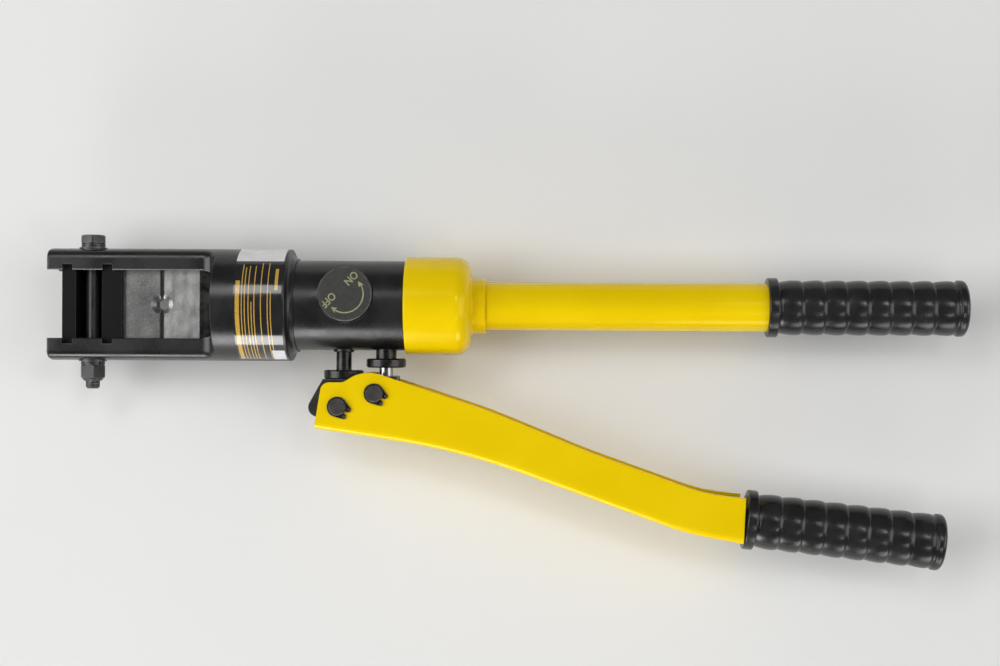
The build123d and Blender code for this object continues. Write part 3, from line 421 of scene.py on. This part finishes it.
def arc_points(centre, radius, start, end, steps):
    """Points (x, r) on an arc between two angles in degrees."""
    points = [polar(radius, start + (end - start) * i / steps) for i in range(steps + 1)]
    return [(centre[0] + x, centre[1] + r) for x, r in points]


def rib_height(share):
    """How high a rib is, from 0 to 1, at a share of its pitch."""
    if share < PEAK_AT:
        return sin(pi / 2 * (share / PEAK_AT)) ** RISE_POWER
    past = (share - PEAK_AT) / (1 - PEAK_AT)
    if past < CROWN_END:
        return 1 - CROWN_DROP * past ** 2
    crown_edge = 1 - CROWN_DROP * CROWN_END ** 2
    return crown_edge * (1 - ((past - CROWN_END) / (1 - CROWN_END)) ** FALL_POWER)


def grip_profile():
    """The grip's outside from the tube to its closed end, with its collar, ribs and end flange."""
    profile = [(0.0, TUBE_R)]
    profile += arc_points((COLLAR_ROUND, COLLAR_R - COLLAR_ROUND), COLLAR_ROUND, 180, 90, 6)
    profile += arc_points((COLLAR_END - COLLAR_ROUND, COLLAR_R - COLLAR_ROUND), COLLAR_ROUND, 90, 0, 6)
    profile += arc_points((COLLAR_END + NECK_ROUND, NECK_ROUND_R), NECK_ROUND, 180, 270, 4)
    for rib in range(RIBS):
        for i in range(RIB_STEPS):
            share = i / RIB_STEPS
            height = rib_height(share) * (RIB_PEAK_R - RIB_VALLEY_R)
            profile.append((RIB_START + (rib + share) * RIB_PITCH, RIB_VALLEY_R + height))
    profile.append((RIB_START + RIBS * RIB_PITCH, RIB_VALLEY_R))
    profile += arc_points((FLANGE_START + FLANGE_ROUND, FLANGE_R - FLANGE_ROUND), FLANGE_ROUND, 180, 90, 5)
    profile += arc_points((GRIP_LENGTH - END_ROUND_AT, FLANGE_R - END_ROUND), END_ROUND, 90, 25, 7)
    profile += [(GRIP_LENGTH - before, FLANGE_R * share) for before, share in END_DOME]
    return profile


def make_grip(node, body, material, place):
    grip = new_object(node + "_moulding", revolved(grip_profile(), GRIP_SIDES), [material])
    grip.data.transform(place)
    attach(grip, body)
    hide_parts(node)


def along_x(start_mm, turn_deg=0.0):
    """A place in the row's frame for a piece made along X in metres."""
    spot = Vector((start_mm[0] * MM, start_mm[1] * MM, 0))
    return Matrix.Translation(spot) @ Matrix.Rotation(radians(turn_deg), 4, "Z")


def make_spring(node, body, axis, moving_low, held):
    """A copy of a spring in place of the CAD part; the ends worked out here are not used, so the copy does not
    stretch.
    """
    low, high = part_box(node)
    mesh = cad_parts[node].data.copy()
    mesh.name = node + "_coil"
    spring = bpy.data.objects.new(mesh.name, mesh)
    bpy.context.scene.collection.objects.link(spring)
    inset = held * (high[axis] - low[axis])
    ends = [(low + high) / 2, (low + high) / 2]
    ends[0][axis] = low[axis] + inset
    ends[1][axis] = high[axis] - inset
    if moving_low:
        ends.reverse()
    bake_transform(spring)
    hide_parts(node)


def label_ink(x, angle):
    """0 for the film, 1 for gold and 2 for white."""
    if angle > LABEL_STRIP or (x > CORNER[0] and angle < CORNER[1]):
        return 2
    for middle, width, first, last in (BAND, SMALL_BAND):
        if abs(x - middle) < width / 2 and first < angle < last:
            return 1
    for middle, last in RULES:
        if abs(x - middle) < RULE_WIDTH / 2 and RULE_FROM < angle < last:
            return 1
    return 0


def make_label(materials):
    """A bare label: a white strip, a dark film and plain gold rules round the barrel."""
    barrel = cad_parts["head_fork"]
    radius = max(vertex.co.y for vertex in barrel.data.vertices) / MM + LABEL_LIFT
    strips = [(middle, width) for middle, width, *_ in (BAND, SMALL_BAND)]
    strips += [(middle, RULE_WIDTH) for middle, _ in RULES]
    edges = [middle + side * width / 2 for middle, width in strips for side in (-1, 1)]
    columns = sorted({LABEL_START, CORNER[0], LABEL_END, *edges})
    angles = [LABEL_FROM + i for i in range(int(LABEL_TO - LABEL_FROM) + 1)]
    ring = [(radius * sin(radians(angle)), radius * cos(radians(angle))) for angle in angles]
    bm = bmesh.new()
    grid = [[bm.verts.new((x, y, z)) for y, z in ring] for x in columns]
    for i in range(len(columns) - 1):
        for j in range(len(angles) - 1):
            face = bm.faces.new((grid[i][j], grid[i + 1][j], grid[i + 1][j + 1], grid[i][j + 1]))
            face.material_index = label_ink((columns[i] + columns[i + 1]) / 2, angles[j] + 0.5)
    inks = [materials[name] for name in ("label_film", "label_gold", "label_white")]
    label = new_object("head_label", bm, inks)
    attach(label, "tool_body")


def flat_shape(name, outline, top, material, centre):
    """A thin printed mark from an outline (x, y) in millimetres about a centre."""
    bm = bmesh.new()
    verts = [bm.verts.new((centre[0] + x, centre[1] + y, top + MARK_THICKNESS)) for x, y in outline]
    bm.faces.new(verts)
    bmesh.ops.triangulate(bm, faces=bm.faces)
    return new_object(name, bm, [material], smooth=False)


def make_word(word, place, centre, top, material):
    """A flat word as a mesh, its middle at a place about a centre, in millimetres."""
    curve = bpy.data.curves.new("word_" + word, "FONT")
    curve.body = word
    curve.size = TEXT_SIZE * MM
    curve.align_x = "CENTER"
    curve.align_y = "CENTER"
    curve.offset = TEXT_BOLD * MM
    holder = bpy.data.objects.new("word_" + word, curve)
    bpy.context.scene.collection.objects.link(holder)
    bpy.context.view_layer.update()
    mesh = bpy.data.meshes.new_from_object(holder)
    bpy.data.objects.remove(holder)
    mesh.name = "knob_word_" + word.lower()
    spot = MM * Vector((centre[0] + place[0], centre[1] + place[1], top + MARK_THICKNESS))
    mesh.transform(Matrix.Diagonal((TEXT_NARROW, 1, 1, 1)))
    mesh.transform(Matrix.Translation(spot) @ Matrix.Rotation(radians(TEXT_TURN), 4, "Z"))
    mesh.materials.clear()
    mesh.materials.append(material)
    piece = bpy.data.objects.new(mesh.name, mesh)
    bpy.context.scene.collection.objects.link(piece)
    return piece


def make_knob_marks(materials):
    """ON, OFF and a double arrow on the release knob."""
    low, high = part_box("release_knob")
    centre = ((low.x + high.x) / 2 / MM, (low.y + high.y) / 2 / MM)
    top = high.z / MM
    sweep = degrees(ARROW_LENGTH / ARC_R)
    first, last = ARC_FROM - ARC_TUCK * sweep, ARC_TO + ARC_TUCK * sweep
    angles = [first + (last - first) * i / ARC_STEPS for i in range(ARC_STEPS + 1)]
    outer = [polar(ARC_R + ARC_WIDTH / 2, angle) for angle in angles]
    inner = [polar(ARC_R - ARC_WIDTH / 2, angle) for angle in angles]
    marks = [flat_shape("knob_arc", outer + inner[::-1], top, materials["mark_paint"], centre)]
    for name, tip, back in (("on", ARC_FROM, -1), ("off", ARC_TO, 1)):
        base = tip + back * sweep
        notch = tip + back * sweep * ARROW_NOTCH
        head = [polar(ARC_R, tip), polar(ARC_R + ARROW_WIDTH / 2, base), polar(ARC_R, notch),
                polar(ARC_R - ARROW_WIDTH / 2, base)]
        marks.append(flat_shape("knob_arrow_" + name, head, top, materials["mark_paint"], centre))
    for word, place in TEXT_PLACES.items():
        marks.append(make_word(word, place, centre, top, materials["mark_paint"]))
    for mark in marks:
        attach(mark, "release_valve")


def make_thread(name, centre, ends, radius, pitch, material, body):
    """A thread's ridge wound round a line along Y through centre (x, z), between two values of Y."""
    turns = (abs(ends[1] - ends[0]) - pitch) / pitch
    count = int(turns * THREAD_STEPS)
    bm = bmesh.new()
    ridges = []
    for i in range(count + 1):
        top = max(ends) - pitch * i / THREAD_STEPS
        fade = min(1.0, i / THREAD_FADE, (count - i) / THREAD_FADE)
        crest = radius + THREAD_HEIGHT * fade - THREAD_SUNK
        ridge = []
        for step, r in enumerate((radius - THREAD_FOOT, crest, radius - THREAD_FOOT)):
            x, z = polar(r, 360 * i / THREAD_STEPS)
            ridge.append(bm.verts.new((centre[0] + x, top - step * THREAD_HALF * pitch, centre[1] + z)))
        ridges.append(ridge)
    for first, second in zip(ridges, ridges[1:]):
        for j in range(3):
            bm.faces.new((first[j], first[(j + 1) % 3], second[(j + 1) % 3], second[j]))
    bm.faces.new(ridges[0])
    bm.faces.new(ridges[-1][::-1])
    thread = new_object(name, bm, [material], smooth=False)
    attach(thread, body)


def make_bolt_thread(materials):
    """The thread on the end of the cross bolt that stands out of the nut."""
    low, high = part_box("cross_bolt")
    nut_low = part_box("cross_bolt_nut")[0]
    centre = ((low.x + high.x) / 2 / MM, (low.z + high.z) / 2 / MM)
    ends = (low.y / MM + BOLT_TIP_EDGE, nut_low.y / MM + THREAD_COVERED)
    make_thread("bolt_thread", centre, ends, BOLT_R, BOLT_PITCH, materials["black_oxide"], "tool_body")


# Studio
def floor_paint():
    shade = tuple(FLOOR_SHADE * channel for channel in FLOOR_COLOUR)
    return finish("floor_paint", (FLOOR_COLOUR, shade), (0.75, 0.85), patches=3, grain=300, grain_height=0.01,
                  specular=0.2)


def make_floor(level):
    bm = bmesh.new()
    bmesh.ops.create_grid(bm, x_segments=FLOOR_CELLS, y_segments=FLOOR_CELLS, size=FLOOR_REACH)
    floor = new_object("floor", bm, [floor_paint()], smooth=False)
    floor.location.z = level


def area_light(name, direction, distance, size, radiance, spread=180):
    """A soft box that faces the tool; direction is in degrees from the vertical towards +Y and then +X.

    A spread below 180 degrees keeps the light off the floor near the box. The radiance is what a point
    straight ahead gets."""
    lamp = bpy.data.lights.new(name, "AREA")
    lamp.shape = "RECTANGLE"
    lamp.size, lamp.size_y = size
    lamp.energy = radiance * pi * size[0] * size[1]
    if spread < 180:
        half = radians(spread) / 2
        lamp.spread = 2 * half
        lamp.energy *= 1 - half / tan(half)
    across, beside = (radians(angle) for angle in direction)
    towards = Vector((sin(beside), sin(across) * cos(beside), cos(across) * cos(beside)))
    holder = bpy.data.objects.new(name, lamp)
    holder.location = Vector(LIT_SPOT) + distance * towards
    holder.rotation_euler = towards.to_track_quat("Z", "Y").to_euler()
    bpy.context.scene.collection.objects.link(holder)


def make_lights():
    for name, setting in LIGHTS.items():
        area_light(name, *setting)
    world = bpy.data.worlds.new("studio")
    world.use_nodes = True
    world.node_tree.nodes["Background"].inputs["Color"].default_value = (SKY, SKY, SKY, 1)
    bpy.context.scene.world = world


def make_camera():
    camera = bpy.data.cameras.new("camera")
    camera.lens = LENS_MM
    camera.sensor_width = SENSOR_MM
    camera.shift_x = (PHOTO[0] / 2 - LOOKING_AT[0]) / PHOTO[0]
    camera.shift_y = (LOOKING_AT[1] - PHOTO[1] / 2) / PHOTO[0]
    camera.clip_start = NEAREST
    holder = bpy.data.objects.new("camera", camera)
    holder.location = (VIEW_X, VIEW_Y, VIEW_HEIGHT)
    holder.rotation_euler = (0, 0, radians(VIEW_ROLL))
    bpy.context.scene.collection.objects.link(holder)
    bpy.context.scene.camera = holder


materials = {name: finish(name, **surface) for name, surface in SURFACES.items()}
dress_nodes(materials)
make_grip("handle_grip", "tool_body", materials["grip_rubber"], along_x((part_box("handle_grip")[0].x / MM, 0)))
make_grip("lever_grip", "pump_lever", materials["grip_rubber"], along_x(LEVER_GRIP_START, LEVER_GRIP_SLOPE))
for spring_node, setting in SPRINGS.items():
    make_spring(spring_node, *setting)
make_label(materials)
make_knob_marks(materials)
make_bolt_thread(materials)
make_floor(cad_box[0][2])
make_lights()
make_camera()
bpy.context.scene.view_settings.view_transform = "Standard"
